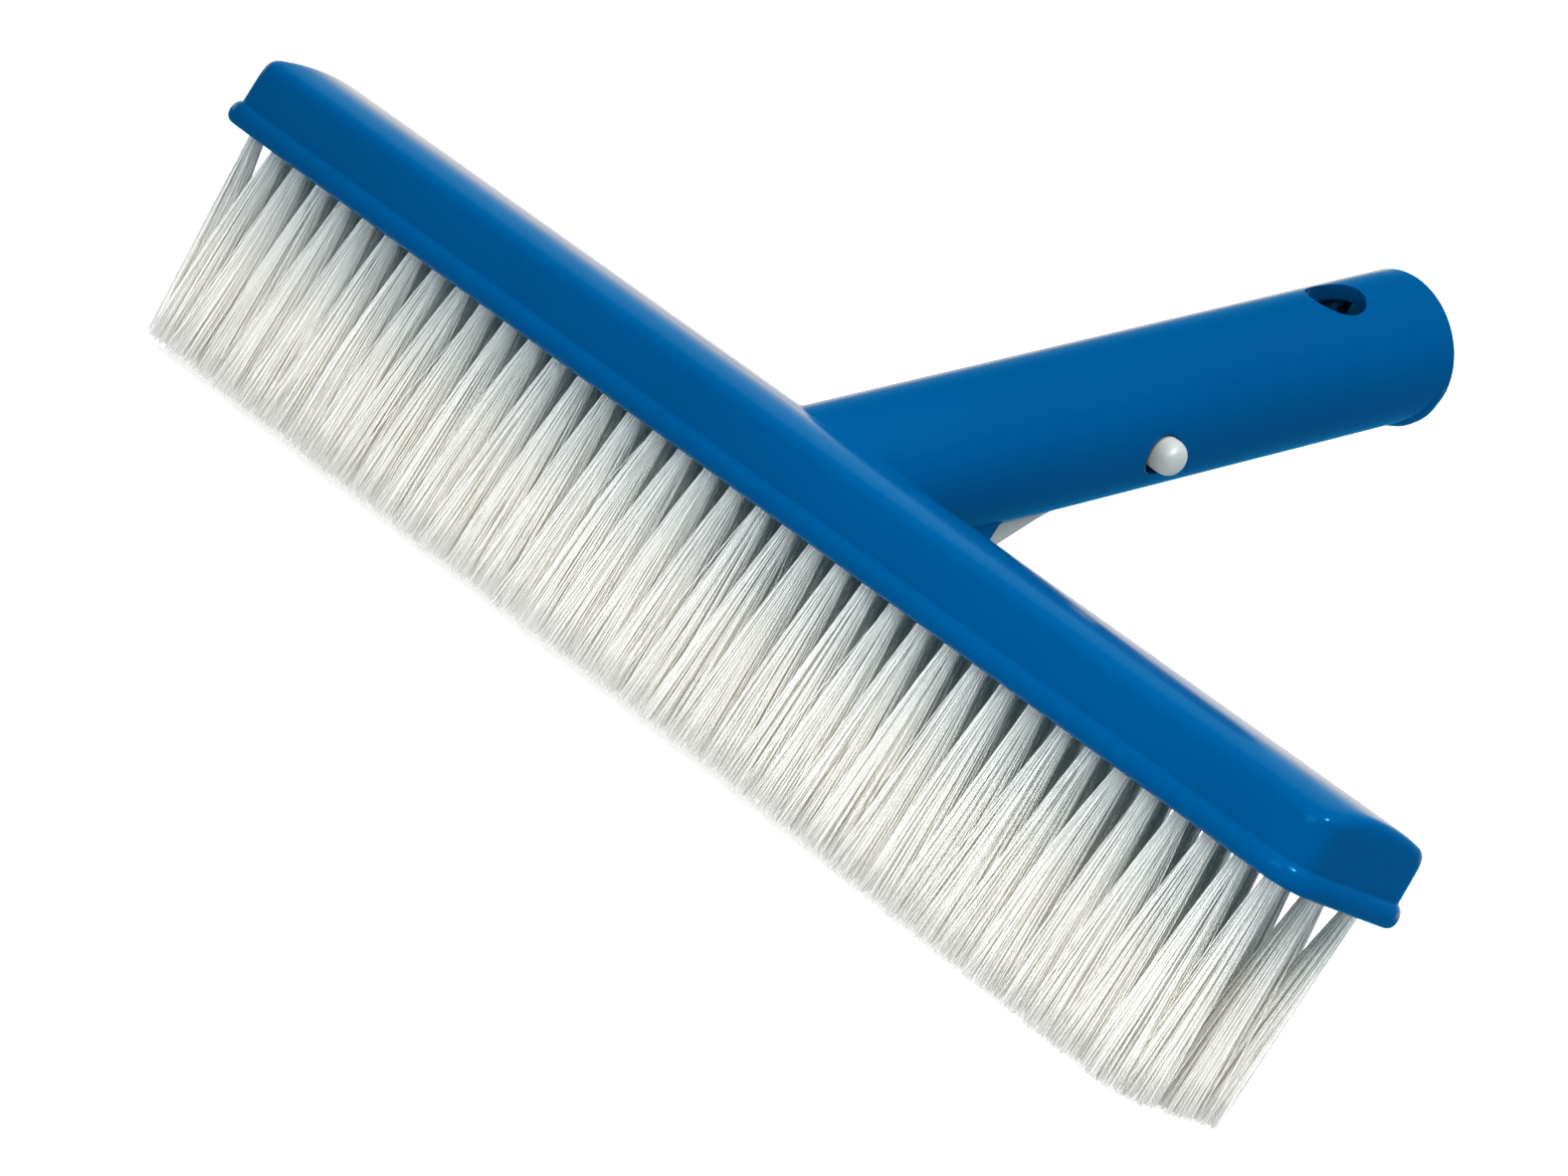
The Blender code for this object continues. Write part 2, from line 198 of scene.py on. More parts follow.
def rounded_rectangle(half_x, half_y, radius):
    """Outline with points all along its straight runs, so that the dome over it shades evenly."""
    radius = max(radius, 0.0004)
    ring = []
    for quarter, (sx, sy) in enumerate(((1, 1), (-1, 1), (-1, -1), (1, -1))):
        cx, cy = sx * (half_x - radius), sy * (half_y - radius)
        for step in range(CORNER_STEPS + 1):
            angle = math.pi / 2 * (quarter + step / CORNER_STEPS)
            ring.append((cx + radius * math.cos(angle), cy + radius * math.sin(angle)))
        steps = LONG_STEPS if quarter % 2 == 0 else SHORT_STEPS
        x0, y0 = ring[-1]
        if quarter % 2 == 0:
            x1, y1 = -x0, y0
        else:
            x1, y1 = x0, -y0
        for step in range(1, steps):
            t = step / steps
            ring.append((x0 + (x1 - x0) * t, y0 + (y1 - y0) * t))
    return ring


def crown(y):
    return CROWN_HEIGHT - CROWN_DROP * (y / CROWN_HALF) ** 2


def plan_ring(end_inset, side_inset):
    base = SIDE_PROFILE[-1][1]
    radius = PLAN_RADIUS + (BODY_RADIUS - PLAN_RADIUS) * min(side_inset / base, 1.0)
    radius -= max(side_inset - base, 0.0)
    return rounded_rectangle(HEAD_LENGTH / 2 - end_inset, HEAD_WIDTH / 2 - side_inset, radius)


def back_body():
    rings = []
    for end_inset, side_inset, height in SIDE_PROFILE:
        rings.append([(x, y + HEAD_Y, BASE_Z + height) for x, y in plan_ring(end_inset, side_inset)])
    profile = list(CROWN_PROFILE)
    profile += [(0.006 + 0.0017 * i, 0.006 + 0.0017 * i, 0.0) for i in range(7)]
    for end_inset, side_inset, drop in profile:
        plan = plan_ring(end_inset, side_inset)
        rings.append([(x, y + HEAD_Y, BASE_Z + crown(y) - drop) for x, y in plan])
    return loft("back_shell", rings)


def foot_station(angle, radius):
    """Where the line along the tube at this angle and radius comes out of the back."""
    low, high = -0.03, 0.06
    for _ in range(30):
        middle = (low + high) / 2
        p = TUBE_FRAME @ Vector((radius * math.sin(angle), middle, radius * math.cos(angle)))
        y = p.y - HEAD_Y
        inside = p.z - BASE_Z < crown(y) and y < HEAD_WIDTH / 2 - 0.0018
        low, high = (middle, high) if inside else (low, middle)
    return low


def foot_profile(angle):
    """Radius and station of the fillet at this angle, from inside the back up to the plain tube."""
    foot = foot_station(angle, TUBE_RADIUS)
    run = foot_station(angle, TUBE_RADIUS + 0.0005) - foot
    size = math.hypot(0.0005, run)
    out = (0.0005 / size, run / size)
    open_angle = math.acos(max(-1.0, min(1.0, out[1])))
    reach = min(FOOT_FILLET / math.tan(open_angle / 2), FILLET_REACH)
    ends = ((TUBE_RADIUS + reach * out[0], foot + reach * out[1]), (TUBE_RADIUS, foot + reach))
    points = [(ends[0][0] - 0.0002 * out[1], ends[0][1] - 0.0003 - 0.0004 * abs(out[0]))]
    corner = (TUBE_RADIUS, foot)
    for i in range(13):
        t = i / 12
        low, mid, high = (1 - t) ** 2, 2 * t * (1 - t), t**2
        points.append([low * a + mid * b + high * c for a, b, c in zip(ends[0], corner, ends[1])])
    return points


def handle_tube():
    """Tube with its fillet, rounded mouth and bore, as one closed wall."""
    angles = [i / TUBE_STEPS * 2 * math.pi for i in range(TUBE_STEPS)]
    profiles = [foot_profile(a) for a in angles]
    rings = []
    for level in range(len(profiles[0])):
        here = [(a, *profile[level]) for a, profile in zip(angles, profiles)]
        rings.append([(radius * math.sin(a), station, radius * math.cos(a)) for a, radius, station in here])
    last = [p[-1][1] for p in profiles]
    station_end = MOUTH_STATION - MOUTH_ROUND
    for i in range(1, 26):
        t = i / 26
        radius = TUBE_RADIUS + (MOUTH_RADIUS - TUBE_RADIUS) * t
        stations = [s + (station_end - s) * t for s in last]
        rings.append([(radius * math.sin(a), s, radius * math.cos(a)) for a, s in zip(angles, stations)])
    for i in range(7):
        a = math.pi / 2 * i / 6
        radius = MOUTH_RADIUS - MOUTH_ROUND * (1 - math.cos(a))
        rings.append(circle(radius, MOUTH_STATION - MOUTH_ROUND * (1 - math.sin(a))))
    # A small rim just inside the mouth, then the plain bore.
    for radius, station in (
        (BORE_RADIUS - 0.0002, MOUTH_STATION),
        (BORE_RADIUS - 0.0007, MOUTH_STATION - 0.00015),
        (BORE_RADIUS - 0.0009, MOUTH_STATION - 0.0005),
        (BORE_RADIUS - 0.0010, MOUTH_STATION - 0.0012),
        (BORE_RADIUS - 0.0010, MOUTH_STATION - 0.0050),
        (BORE_RADIUS, MOUTH_STATION - 0.0062),
        (BORE_RADIUS, 0.137),
        (BORE_RADIUS, 0.12),
        (BORE_RADIUS, 0.09),
        (BORE_RADIUS, 0.06),
        (BORE_RADIUS, BORE_END + 0.0008),
        (BORE_RADIUS - 0.0008, BORE_END),
    ):
        rings.append(circle(radius, station))
    return loft("tube", rings, TUBE_FRAME)


def mouth_lip():
    """Lip under the mouth: a short drum, lower than the tube, hollowed to clear the bore."""
    rings = []
    for station, less in (
        (MOUTH_STATION - 0.0045, 0.0012),
        (MOUTH_STATION - 0.0040, 0.0006),
        (MOUTH_STATION - 0.0034, 0.0002),
        (MOUTH_STATION - 0.0026, 0.0),
        (MOUTH_STATION - 0.0014, 0.0001),
        (MOUTH_STATION - 0.0009, 0.0004),
        (MOUTH_STATION - 0.0006, 0.0009),
    ):
        rings.append(circle(MOUTH_RADIUS - less, station, drop=LIP_DROP))
    lip = loft("lip", rings, TUBE_FRAME)
    ends = [circle(BORE_RADIUS + 0.0010, MOUTH_STATION - 0.02 + 0.03 * i) for i in range(2)]
    combine(lip, loft("hollow", ends, TUBE_FRAME), "DIFFERENCE")
    return lip


# Keel below the tube, as distances back from the middle of the head and heights above the flange's
# underside: along the underside, up the end, and back inside the tube.
KEEL_HALF = 0.0103
KEEL_END = 0.0436
KEEL_PROFILE = (
    (0.0120, 0.0006),
    (KEEL_END - 0.0030, 0.0006),
    (KEEL_END - 0.0016, 0.0008),
    (KEEL_END - 0.0006, 0.0015),
    (KEEL_END - 0.0001, 0.0026),
    (KEEL_END, 0.0040),
    (KEEL_END, 0.0112),
    (KEEL_END + 0.0001, 0.0121),
    (KEEL_END + 0.0004, 0.0130),
    (KEEL_END + 0.0009, 0.0139),
    (KEEL_END + 0.0017, 0.0148),
    (KEEL_END + 0.0027, 0.0157),
    (KEEL_END + 0.0038, 0.0165),
    (KEEL_END + 0.0036, 0.0204),
    (0.0120, 0.0085),
)


KEEL_UNDERSIDE = 4
KEEL_OUTSIDE = 12


def keel():
    """The keel's two outer edges are softened by shrinking the end rings of its underside and end."""
    rings = []
    for x, shrink in ((-1, 0.0005), (-0.965, 0.0), (0.965, 0.0), (1, 0.0005)):
        ring = []
        for i, (y, z) in enumerate(KEEL_PROFILE):
            inwards = shrink if 0 < i < KEEL_OUTSIDE else 0.0
            up = shrink if i < KEEL_UNDERSIDE else 0.0
            ring.append((x * KEEL_HALF, y - inwards + HEAD_Y, BASE_Z + z + up))
        rings.append(ring)
    return loft("keel", rings)


def box(name, low, high, matrix=None):
    rings = [
        [(low[0], low[1], z), (high[0], low[1], z), (high[0], high[1], z), (low[0], high[1], z)]
        for z in (low[2], high[2])
    ]
    return loft(name, rings, matrix)


def tuft_places(column):
    """Place and row of each tuft of a column. The second and fourth rows have one tuft less."""
    first = -(COLUMNS - 1) / 2 * COLUMN_PITCH
    for row in range(ROWS):
        if row % 2 and column == COLUMNS - 1:
            continue
        x = first + (column + 0.5 * (row % 2)) * COLUMN_PITCH
        yield x, (row - (ROWS - 1) / 2) * ROW_PITCH, row


def tuft_holes():
    """One cutter for every tuft's blind hole."""
    points, faces = [], []
    radius = ROOT_RADIUS + 0.00015
    for column in range(COLUMNS):
        for x, y, _ in tuft_places(column):
            start = len(points)
            for z in (-0.002, HOLE_DEPTH):
                for i in range(HOLE_SIDES):
                    a = 2 * math.pi * i / HOLE_SIDES
                    points.append((x + radius * math.cos(a), y + HEAD_Y + radius * math.sin(a), BASE_Z + z))
            top = start + HOLE_SIDES
            for i in range(HOLE_SIDES):
                j = (i + 1) % HOLE_SIDES
                faces.append((start + i, start + j, top + j, top + i))
            faces.append(tuple(start + i for i in reversed(range(HOLE_SIDES))))
            faces.append(tuple(top + i for i in range(HOLE_SIDES)))
    return mesh_object("holes", points, faces)


def hole_tool(radius, start, end, place, turn, count=48):
    """Round cutter from start to end along its own Z, turned and put at this place of the tube."""
    angles = [2 * math.pi * i / count for i in range(count)]
    rings = [[(radius * math.cos(a), radius * math.sin(a), z) for a in angles] for z in (start, end)]
    return loft("cutter", rings, TUBE_FRAME @ Matrix.Translation(place) @ turn)


def in_bore(point):
    place = TUBE_FRAME.inverted() @ point
    radius = math.hypot(place.x, place.z)
    return radius < BORE_RADIUS + 0.0002 and BORE_END < place.y < MOUTH_STATION - 0.0006


def moulding(material, inside):
    """The blue moulding, with the second material, a darker copy that paints shade, inside its bore."""
    handle = handle_tube()
    solid = loft(
        "plug",
        [circle(BORE_RADIUS - 0.0008, BORE_END - 0.0001), circle(BORE_RADIUS, BORE_END + 0.0007)]
        + [circle(BORE_RADIUS, s) for s in (0.06, 0.09)],
        TUBE_FRAME,
    )
    block = keel()
    combine(block, solid, "DIFFERENCE")
    combine(handle, block, "UNION")
    combine(handle, mouth_lip(), "UNION")
    trim = box("trim", (-0.03, HEAD_Y - 0.02, BASE_Z - 0.04), (0.03, HEAD_Y + 0.08, BASE_Z + TRIM_HEIGHT))
    combine(handle, trim, "DIFFERENCE")
    combine(handle, box("slot", SLOT_LOW, SLOT_HIGH, TUBE_FRAME), "DIFFERENCE")
    across = Matrix.Rotation(math.pi / 2, 4, "Y")
    radius, station, height = BUTTON_HOLE
    combine(handle, hole_tool(radius, -0.02, 0.02, (0, station, height), across), "DIFFERENCE")
    radius, station = TOP_HOLE
    combine(handle, hole_tool(radius, 0.0, 0.02, (0, station, 0), Matrix.Identity(4)), "DIFFERENCE")
    body = back_body()
    combine(body, handle, "UNION")
    combine(body, tuft_holes(), "DIFFERENCE")
    shade(body, material)
    # The faces inside the bore take the darker copy: painted shade in the hollow of the bore.
    body.data.materials.append(inside)
    for face in body.data.polygons:
        face.material_index = int(in_bore(face.center))
    return body


# ---------------------------------------------------------------- clip

# Stations of an arm: distance along the tube, inner x, outer x, lowest height, highest height.
ARM_PATH = (
    (0.1160, 0.0016, 0.0034, -0.0040, 0.0040),
    (0.1120, 0.0018, 0.0036, -0.0040, 0.0040),
    (0.0880, 0.0075, 0.0092, -0.0040, 0.0040),
    (0.0830, 0.0077, 0.0095, -0.0040, 0.0040),
    (0.0735, 0.0075, 0.0093, -0.0040, 0.0040),
    (0.0722, 0.0068, 0.0086, -0.0042, 0.0040),
    (0.0710, 0.0060, 0.0077, -0.0076, 0.0040),
    (0.0570, 0.0058, 0.0075, -0.0118, 0.0039),
    (0.0560, 0.0058, 0.0075, -0.0121, 0.0037),
    (0.0420, 0.0058, 0.0075, -0.0174, 0.0020),
    (0.0406, 0.0059, 0.0074, -0.0167, 0.0010),
    (0.0400, 0.0061, 0.0072, -0.0150, -0.0004),
)
BUTTON_REACH = 0.0167
BUTTON_RADIUS = 0.0032
BUTTON_DOME = 0.0027
BUTTON_ROOT = 0.0086
BUTTON_STATION = 0.0774
BUTTON_DROP = 0.0009
BUTTON_STEPS = 48
# Heights of the rings of the root of the V, and their share of the full outline.
BRIDGE_RINGS = ((-0.0098, 0.8), (-0.0094, 0.9), (-0.0088, 1.0), (0.0088, 1.0), (0.0094, 0.9), (0.0098, 0.8))


def soft_edges(obj, width, segments=3):
    modifier = obj.modifiers.new("edges", "BEVEL")
    modifier.width = width
    modifier.segments = segments
    modifier.limit_method = "ANGLE"
    modifier.angle_limit = math.radians(35)
    graph = bpy.context.evaluated_depsgraph_get()
    mesh = bpy.data.meshes.new_from_object(obj.evaluated_get(graph))
    obj.modifiers.clear()
    obj.data = mesh


def button(matrix):
    """Round button with a domed end, pointing outwards along X."""
    profile = [(BUTTON_ROOT, BUTTON_RADIUS)]
    for i in range(12):
        a = math.pi / 2 * i / 11.4
        x = BUTTON_REACH - BUTTON_DOME + BUTTON_DOME * math.sin(a)
        profile.append((x, BUTTON_RADIUS * math.cos(a) ** 0.72))
    turns = [2 * math.pi * k / BUTTON_STEPS for k in range(BUTTON_STEPS)]
    rings = [
        [(x, BUTTON_STATION + r * math.cos(b), r * math.sin(b) - BUTTON_DROP) for b in turns]
        for x, r in profile
    ]
    return loft("button", rings, matrix)


def clip_arm(name, side, material):
    rings = [
        [(inner, s, low), (outer, s, low), (outer, s, high), (inner, s, high)]
        for s, inner, outer, low, high in ARM_PATH
    ]
    mirror = TUBE_FRAME @ Matrix.Diagonal((side, 1, 1, 1))
    arm = loft(name, rings, mirror)
    soft_edges(arm, 0.0004)
    combine(arm, button(mirror), "UNION")
    shade(arm, material, 38.0)
    return arm


def clip_bridge(name, material):
    outline = []
    for i in range(17):
        a = math.pi * i / 16
        outline.append((0.0034 * math.cos(a), 0.1172 + 0.0027 * math.sin(a)))
    outline = [(0.0034, 0.1163)] + outline + [(-0.0034, 0.1163)]
    rings = [[(share * x, s, height) for x, s in outline] for height, share in BRIDGE_RINGS]
    bridge = loft(name, rings, TUBE_FRAME)
    shade(bridge, material, 40.0)
    return bridge


# ---------------------------------------------------------------- bristles


def tip_lean(x, y, row):
    """Lean of a tuft's tips in x and y, and how far they spread. End tufts are drawn inwards."""
    near_end = min(max((0.0145 - HEAD_LENGTH / 2 + abs(x)) / 0.0073, 0.0), 1.0)
    front = (-0.0012, -0.0003, 0.0, 0.0, 0.0004)[row] * (1.0 - near_end)
    lean_x = -math.copysign(0.0028 * near_end, x)
    lean_y = front - 0.0020 * near_end * y / (2 * ROW_PITCH)
    return lean_x, lean_y, 0.0042 - 0.0008 * near_end


def filaments(tufts, seed):
    """Points and faces of every filament of these tufts: three-sided, waved and flaring to the tips."""
    rng = np.random.default_rng(seed)
    n = FILAMENTS
    level = np.linspace(0.0, 1.0, LEVELS)
    points, faces = [], []
    count = 0
    for x, y, row in tufts:
        i = np.arange(n)
        r = np.sqrt((i + 0.5) / n)
        a = i * GOLDEN_ANGLE + rng.uniform(0, 2 * math.pi)
        unit = np.stack([r * np.cos(a), r * np.sin(a)], 1)
        root = unit * (ROOT_RADIUS - FILAMENT_RADIUS)
        lean_x, lean_y, spread = tip_lean(x, y, row)
        tip = unit * spread
        tip += rng.normal(0, 0.00030, (n, 2)) + rng.normal(0, 0.0004, 2)
        tip += np.array([lean_x, lean_y])
        stray = rng.random(n) < STRAY_SHARE
        tip[stray] += rng.normal(0, 0.0016, (int(stray.sum()), 2))
        bow = rng.normal(0, 0.00018, (n, 2)) + rng.normal(0, 0.00018, 2)
        wave = rng.normal(0, 0.00005, (n, 2))
        phase = rng.uniform(0, 6.28, n)
        top = BASE_Z + ROOT_DEPTH
        longer = 0.0013 * min(max((x - 0.03) / 0.09, 0.0), 1.0)
        length = top + longer - rng.uniform(0.0, 0.0005, n)
        spin = rng.uniform(0, 6.28, n)
        rings = []
        for t in level:
            free = max(0.0, (t * top - ROOT_DEPTH) / (top - ROOT_DEPTH))
            s = free**0.86
            centre = root + (tip - root) * s + bow * math.sin(math.pi * free)
            centre = centre + wave * np.sin(phase + 9.0 * t)[:, None] * free
            z = top - length * t
            width = FILAMENT_RADIUS * (1.0 if t < 0.99 else 0.7)
            for k in range(3):
                b = spin + 2 * math.pi * k / 3
                px = x + centre[:, 0] + width * np.cos(b)
                py = y + HEAD_Y + centre[:, 1] + width * np.sin(b)
                rings.append(np.stack([px, py, z], 1))
        block = np.stack(rings, 1)
        points.append(block.reshape(-1, 3))
        base = count + np.arange(n)[:, None] * (3 * LEVELS)
        for lev in range(LEVELS - 1):
            for k in range(3):
                j = (k + 1) % 3
                low, high = 3 * lev, 3 * (lev + 1)
                quad = np.concatenate([base + low + k, base + high + k, base + high + j, base + low + j], 1)
                faces += quad.tolist()
        end = 3 * (LEVELS - 1)
        faces += np.concatenate([base + end, base + end + 2, base + end + 1], 1).tolist()
        faces += np.concatenate([base, base + 1, base + 2], 1).tolist()
        count += n * 3 * LEVELS
    return np.concatenate(points), faces


def bristle_column(number, tufts, material):
    points, faces = filaments(tufts, 400 + number)
    mesh = bpy.data.meshes.new(f"bristles_{number:02d}")
    mesh.from_pydata(points.tolist(), [], faces)
    mesh.polygons.foreach_set("use_smooth", [len(f) == 4 for f in faces])
    mesh.update()
    mesh.materials.append(material)
    obj = bpy.data.objects.new(mesh.name, mesh)
    bpy.context.scene.collection.objects.link(obj)
    return obj


# ---------------------------------------------------------------- materials


class Nodes:
    """Short way to write a node tree."""

    def __init__(self, name):
        self.material = bpy.data.materials.new(name)
        self.material.use_nodes = True
        self.tree = self.material.node_tree
        self.shader = self.tree.nodes["Principled BSDF"]

    def add(self, kind, inputs=(), **settings):
        node = self.tree.nodes.new(kind)
        for key, value in settings.items():
            setattr(node, key, value)
        for key, value in dict(inputs).items():
            if isinstance(value, bpy.types.NodeSocket):
                self.tree.links.new(value, node.inputs[key])
            else:
                node.inputs[key].default_value = value
        return node

    def ramp(self, value, stops):
        node = self.add("ShaderNodeValToRGB", {"Fac": value})
        ramp = node.color_ramp
        while len(ramp.elements) < len(stops):
            ramp.elements.new(0.5)
        for element, (place, colour) in zip(ramp.elements, stops):
            element.position = place
            element.color = (*colour, 1.0)
        return node.outputs["Color"]

    def noise(self, place, scale, detail, **inputs):
        inputs = {"Vector": place, "Scale": scale, "Detail": detail, **inputs}
        return self.add("ShaderNodeTexNoise", inputs).outputs["Fac"]

    def bump(self, height, strength, distance, **inputs):
        inputs = {"Height": height, "Strength": strength, "Distance": distance, **inputs}
        return self.add("ShaderNodeBump", inputs).outputs["Normal"]

    def link(self, socket, value):
        if isinstance(value, bpy.types.NodeSocket):
            self.tree.links.new(value, self.shader.inputs[socket])
        else:
            self.shader.inputs[socket].default_value = value


def grey(v):
    return (v, v, v)


def blue_plastic(name, share):
    """The moulding's plastic. The inside of the bore gets only this share of its colour, as painted shade
    in the hollow.
    """
    n = Nodes(name)
    place = n.add("ShaderNodeTexCoord").outputs["Object"]
    broad = n.noise(place, 18.0, 3.0)
    deep, pale = (0.0, 0.044 * share, 0.137 * share), (0.0, 0.050 * share, 0.156 * share)
    n.link("Base Color", n.ramp(broad, ((0.3, deep), (0.7, pale))))
    smear = n.noise(place, 90.0, 4.0, Distortion=0.6)
    n.link("Roughness", n.ramp(smear, ((0.25, grey(0.11)), (0.75, grey(0.17)))))
    fine = n.noise(place, 900.0, 2.0)
    waves = n.noise(place, 70.0, 1.0)
    soft = n.add("ShaderNodeBevel", {"Radius": 0.0004}, samples=4).outputs["Normal"]
    wavy = n.bump(waves, 0.05, 0.0006, Normal=soft)
    n.link("Normal", n.bump(fine, 0.06, 0.00005, Normal=wavy))
    n.link("IOR", 1.2)
    n.link("Specular Tint", (0.02, 0.4, 0.9, 1.0))
    return n.material


def clip_plastic():
    n = Nodes("white_acetal")
    place = n.add("ShaderNodeTexCoord").outputs["Object"]
    broad = n.noise(place, 120.0, 3.0)
    n.link("Base Color", n.ramp(broad, ((0.3, (0.30, 0.32, 0.305)), (0.7, (0.335, 0.355, 0.34)))))
    n.link("Roughness", n.ramp(broad, ((0.3, grey(0.34)), (0.7, grey(0.44)))))
    n.link("Subsurface Weight", 0.15)
    n.link("Subsurface Scale", 0.002)
    n.link("Normal", n.bump(n.noise(place, 1400.0, 2.0), 0.08, 0.00005))
    return n.material


def nylon():
    n = Nodes("nylon_filament")
    place = n.add("ShaderNodeTexCoord").outputs["Object"]
    streak = n.add("ShaderNodeMapping", {"Vector": place, "Scale": (1.0, 1.0, 0.02)}).outputs["Vector"]
    tone = n.noise(streak, 1300.0, 1.0)
    body = n.ramp(tone, ((0.3, (0.88, 0.866, 0.80)), (0.7, (0.92, 0.906, 0.845))))
    height = n.add("ShaderNodeSeparateXYZ", {"Vector": place}).outputs["Z"]
    up = n.add("ShaderNodeMapRange", {"Value": height, "From Min": -0.001, "From Max": BASE_Z})
    up = up.outputs["Result"]
    # Darker at the very tips. Cooler and darker at the roots: painted shade between the tufts, tinted with
    # painted blue light off the back.
    tips = ((0.0, grey(0.88)), (0.045, grey(0.97)), (0.09, grey(1.0)))
    along = n.ramp(up, tips + ((0.45, grey(1.0)), (1.0, (0.74, 0.82, 0.84))))
    mix = n.add("ShaderNodeMix", data_type="RGBA", blend_type="MULTIPLY")
    mix.inputs[0].default_value = 1.0
    n.tree.links.new(body, mix.inputs[6])
    n.tree.links.new(along, mix.inputs[7])
    n.link("Base Color", mix.outputs[2])
    # Painted light: a faint glow that stands in for the light the filaments pass on to each other, painted
    # cool at the roots for the light that comes off the blue back.
    glow = ((0.0, (0.9, 0.9, 0.85)), (0.5, (0.9, 0.92, 0.88)), (1.0, (0.0, 0.2, 0.3)))
    n.link("Emission Color", n.ramp(up, glow))
    n.link("Emission Strength", 0.028)
    n.link("Roughness", n.ramp(tone, ((0.3, grey(0.32)), (0.7, grey(0.46)))))
    n.link("Subsurface Weight", 0.8)
    n.link("Subsurface Radius", (1.0, 1.0, 0.95))
    n.link("Subsurface Scale", 0.0008)
    n.link("IOR", 1.3)
    return n.material


def floor_material():
    n = Nodes("pale_floor")
    place = n.add("ShaderNodeTexCoord").outputs["Object"]
    broad = n.noise(place, 3.0, 2.0)
    n.link("Base Color", n.ramp(broad, ((0.3, grey(0.52)), (0.7, grey(0.54)))))
    n.link("Roughness", 0.9)
    n.link("Specular IOR Level", 0.1)
    n.link("Emission Color", (1.0, 1.0, 1.0, 1.0))
    # Seen directly the floor glows a little more than it lights the brush, so it's as white as the room.
    seen = n.add("ShaderNodeLightPath").outputs["Is Camera Ray"]
    glow = n.add("ShaderNodeMapRange", {"Value": seen, "To Min": 0.45, "To Max": 0.72}).outputs["Result"]
    n.link("Emission Strength", glow)
    return n.material


# ---------------------------------------------------------------- stage


# What the room looks like mirrored in the brush, from straight below (0) to straight above (1).
MIRRORED_STOPS = (
    (0.0, (0.0, 0.22, 0.46)),
    (0.48, (0.02, 0.26, 0.52)),
    (0.50, (1.0, 0.93, 0.80)),
    (0.58, (1.0, 0.92, 0.78)),
    (0.65, (0.12, 0.44, 0.72)),
    (0.80, (0.01, 0.30, 0.60)),
    (1.0, (0.01, 0.20, 0.42)),
)
MIRRORED_ELSEWHERE = (0.01, 0.24, 0.50, 1.0)
CARD_DIRECTION = (-0.6, 0.8, 0.0)
CAMERA_ROWS = (
    (0.64035456, -0.47348964, 0.60477567, 0.613133),
    (0.57429521, -0.22769371, -0.78634638, HEAD_Y - 0.781511),
    (0.51003048, 0.85086022, 0.12611814, BASE_Z + 0.114829),
    (0.0, 0.0, 0.0, 1.0),
)


def add_floor():
    turns = [2 * math.pi * i / 64 for i in range(64)]
    points = [(4 * math.cos(a), 4 * math.sin(a), FLOOR_Z) for a in turns]
    floor = mesh_object("floor", points, [tuple(range(64))])
    floor.data.materials.append(floor_material())
    floor.visible_glossy = False


def background(tree, strength, colour=None):
    node = tree.nodes.new("ShaderNodeBackground")
    node.inputs["Strength"].default_value = strength
    if colour is not None:
        node.inputs["Color"].default_value = colour
    return node


def add_room():
    """Seen directly the room is plain white. Mirrored it is blue, with a pale card low at the back left."""
    world = bpy.data.worlds.new("studio")
    bpy.context.scene.world = world
    world.use_nodes = True
    tree = world.node_tree
    tree.nodes.clear()
    seen = background(tree, 1.05, (1.0, 1.0, 1.0, 1.0))
    fill = background(tree, 1.0, (0.175, 0.20, 0.225, 1.0))
    mirrored = background(tree, 1.25)
    place = tree.nodes.new("ShaderNodeTexCoord")
    split = tree.nodes.new("ShaderNodeSeparateXYZ")
    height = tree.nodes.new("ShaderNodeMapRange")
    height.inputs["From Min"].default_value = -1.0
    behind = tree.nodes.new("ShaderNodeVectorMath")
    behind.operation = "DOT_PRODUCT"
    behind.inputs[1].default_value = CARD_DIRECTION
    part = tree.nodes.new("ShaderNodeMapRange")
    part.interpolation_type = "SMOOTHSTEP"
    part.inputs["From Min"].default_value = 0.47
    part.inputs["From Max"].default_value = 0.75
    card = tree.nodes.new("ShaderNodeMix")
    card.data_type = "RGBA"
    card.inputs[6].default_value = MIRRORED_ELSEWHERE
    ramp = tree.nodes.new("ShaderNodeValToRGB")
    while len(ramp.color_ramp.elements) < len(MIRRORED_STOPS):
        ramp.color_ramp.elements.new(0.5)
    for element, (where, colour) in zip(ramp.color_ramp.elements, MIRRORED_STOPS):
        element.position = where
        element.color = (*colour, 1.0)
    path = tree.nodes.new("ShaderNodeLightPath")
    unseen = tree.nodes.new("ShaderNodeMixShader")
    mix = tree.nodes.new("ShaderNodeMixShader")
    out = tree.nodes.new("ShaderNodeOutputWorld")
    for source, target in (
        (place.outputs["Generated"], split.inputs[0]),
        (split.outputs["Z"], height.inputs["Value"]),
        (height.outputs["Result"], ramp.inputs["Fac"]),
        (place.outputs["Generated"], behind.inputs[0]),
        (behind.outputs["Value"], part.inputs["Value"]),
        (part.outputs["Result"], card.inputs[0]),
        (ramp.outputs["Color"], card.inputs[7]),
        (card.outputs[2], mirrored.inputs["Color"]),
        (path.outputs["Is Glossy Ray"], unseen.inputs[0]),
        (fill.outputs[0], unseen.inputs[1]),
        (mirrored.outputs[0], unseen.inputs[2]),
        (path.outputs["Is Camera Ray"], mix.inputs[0]),
        (unseen.outputs[0], mix.inputs[1]),
        (seen.outputs[0], mix.inputs[2]),
        (mix.outputs[0], out.inputs["Surface"]),
    ):
        tree.links.new(source, target)


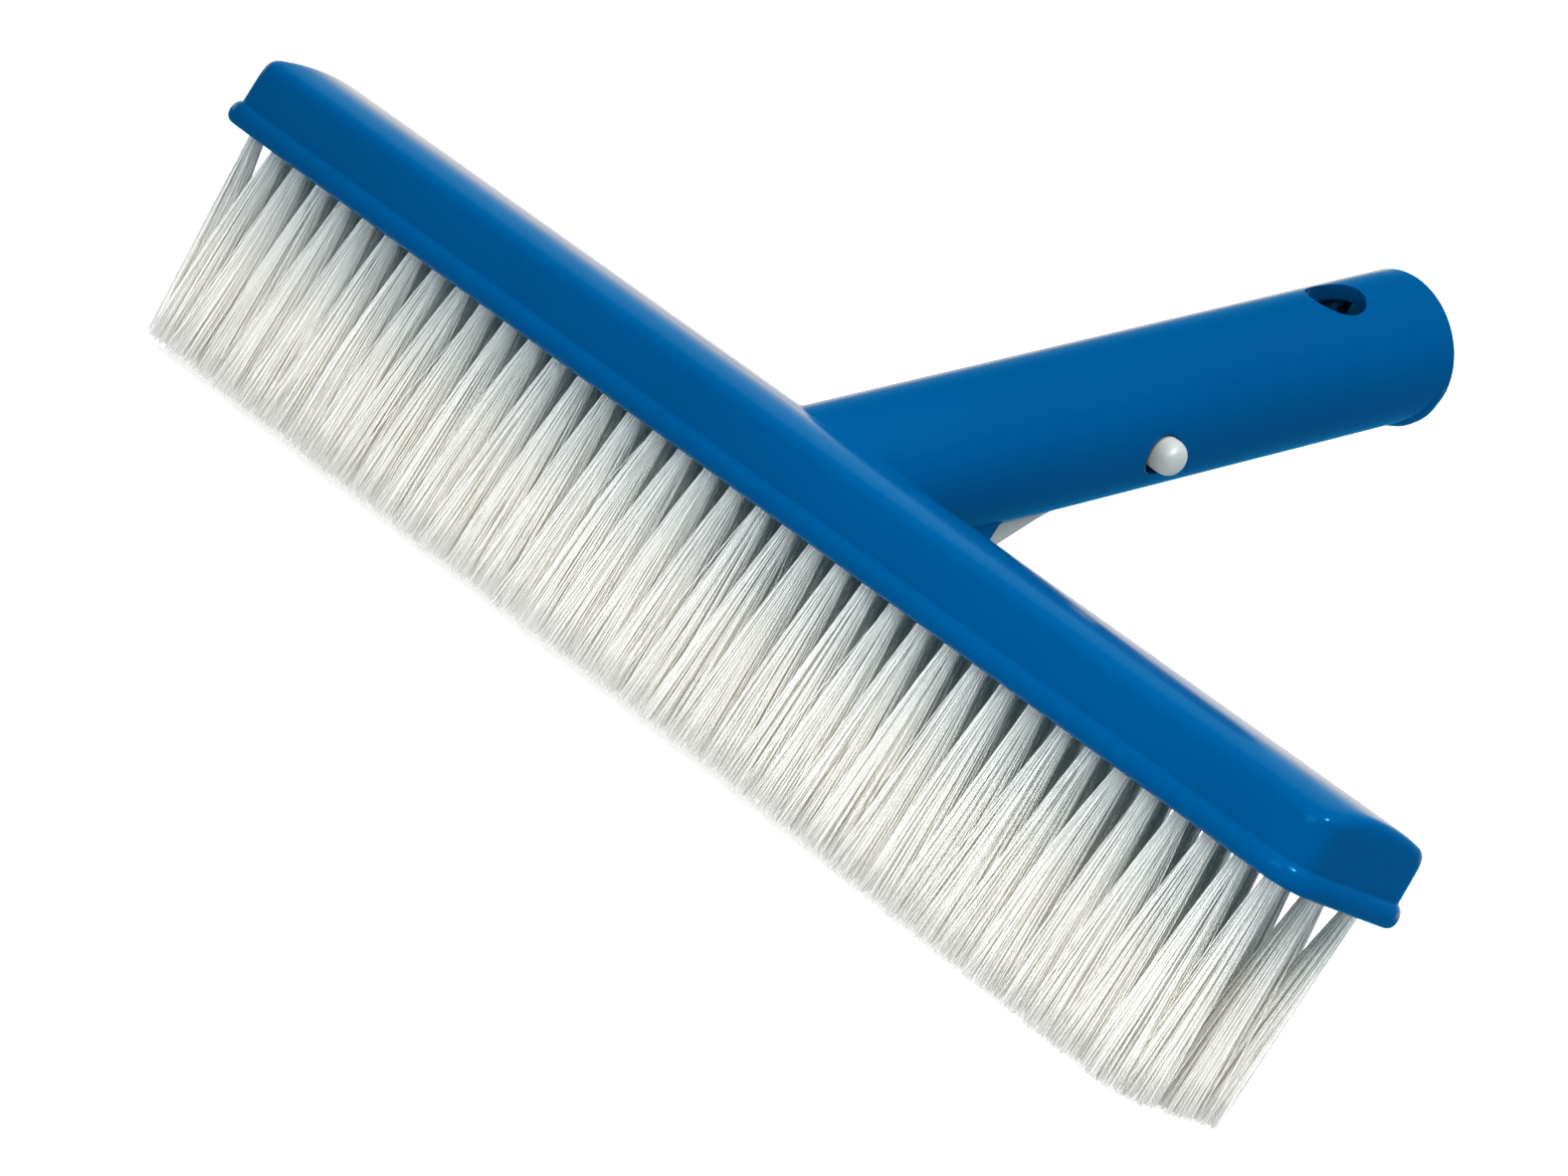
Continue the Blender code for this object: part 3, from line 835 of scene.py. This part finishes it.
def lamp(name, kind, place, aim, power, mirrored, **settings):
    data = bpy.data.lights.new(name, kind)
    data.energy = power
    for key, value in settings.items():
        setattr(data, key, value)
    obj = bpy.data.objects.new(name, data)
    bpy.context.scene.collection.objects.link(obj)
    obj.location = place
    obj.rotation_euler = (Vector(aim) - Vector(place)).to_track_quat("-Z", "Y").to_euler()
    obj.visible_camera = False
    obj.visible_glossy = mirrored
    return obj


def studio():
    add_floor()
    add_room()
    lamp("sky", "SUN", (0.2, -0.10, 1.0), (0, 0, 0), 5.8, False, angle=math.radians(70))
    lamp("key", "AREA", (0.17, -0.34, 0.18), (0.09, -0.05, 0.03), 0.8, True, size=0.16)
    # Only mirrored: small glints on the rounded corners of the near end.
    glint = lamp("glint", "AREA", (0.385, -0.205, 0.465), (0.13, -0.09, 0.05), 8.0, True, size=0.05)
    glint.visible_diffuse = False

    view = bpy.data.cameras.new("camera")
    view.lens = 143.9086
    view.sensor_width = 36.0
    view.clip_start = 0.05
    camera = bpy.data.objects.new("camera", view)
    bpy.context.scene.collection.objects.link(camera)
    camera.matrix_world = Matrix(CAMERA_ROWS)
    bpy.context.scene.camera = camera
    bpy.context.scene.view_settings.view_transform = "Standard"
    # Light crosses many filaments before it leaves the tufts.
    bpy.context.scene.cycles.diffuse_bounces = 12
    bpy.context.scene.cycles.max_bounces = 16


# ---------------------------------------------------------------- build


def main():
    white, fibre = clip_plastic(), nylon()
    # The bore's copy at 0.3 of the colour is painted shade in the hollow of the bore.
    back = moulding(blue_plastic("blue_moulding", 1.0), blue_plastic("blue_bore_painted_shade", 0.3))
    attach(back, "head")
    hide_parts("brush_back")

    bridge = clip_bridge("clip_root", white)
    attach(bridge, "head")
    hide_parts("clip_bridge")
    for side, word in ((1, "right"), (-1, "left")):
        arm = clip_arm(f"spring_arm_{word}", side, white)
        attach(arm, f"{word}_arm")
        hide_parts(f"clip_arm_{word}")

    for column in range(COLUMNS - 1):
        tufts = list(tuft_places(column))
        if column == COLUMNS - 2:
            tufts += tuft_places(COLUMNS - 1)
        bristles = bristle_column(column + 1, tufts, fibre)
        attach(bristles, "head")
        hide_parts(f"tuft_column_{column + 1:02d}")
    studio()


main()
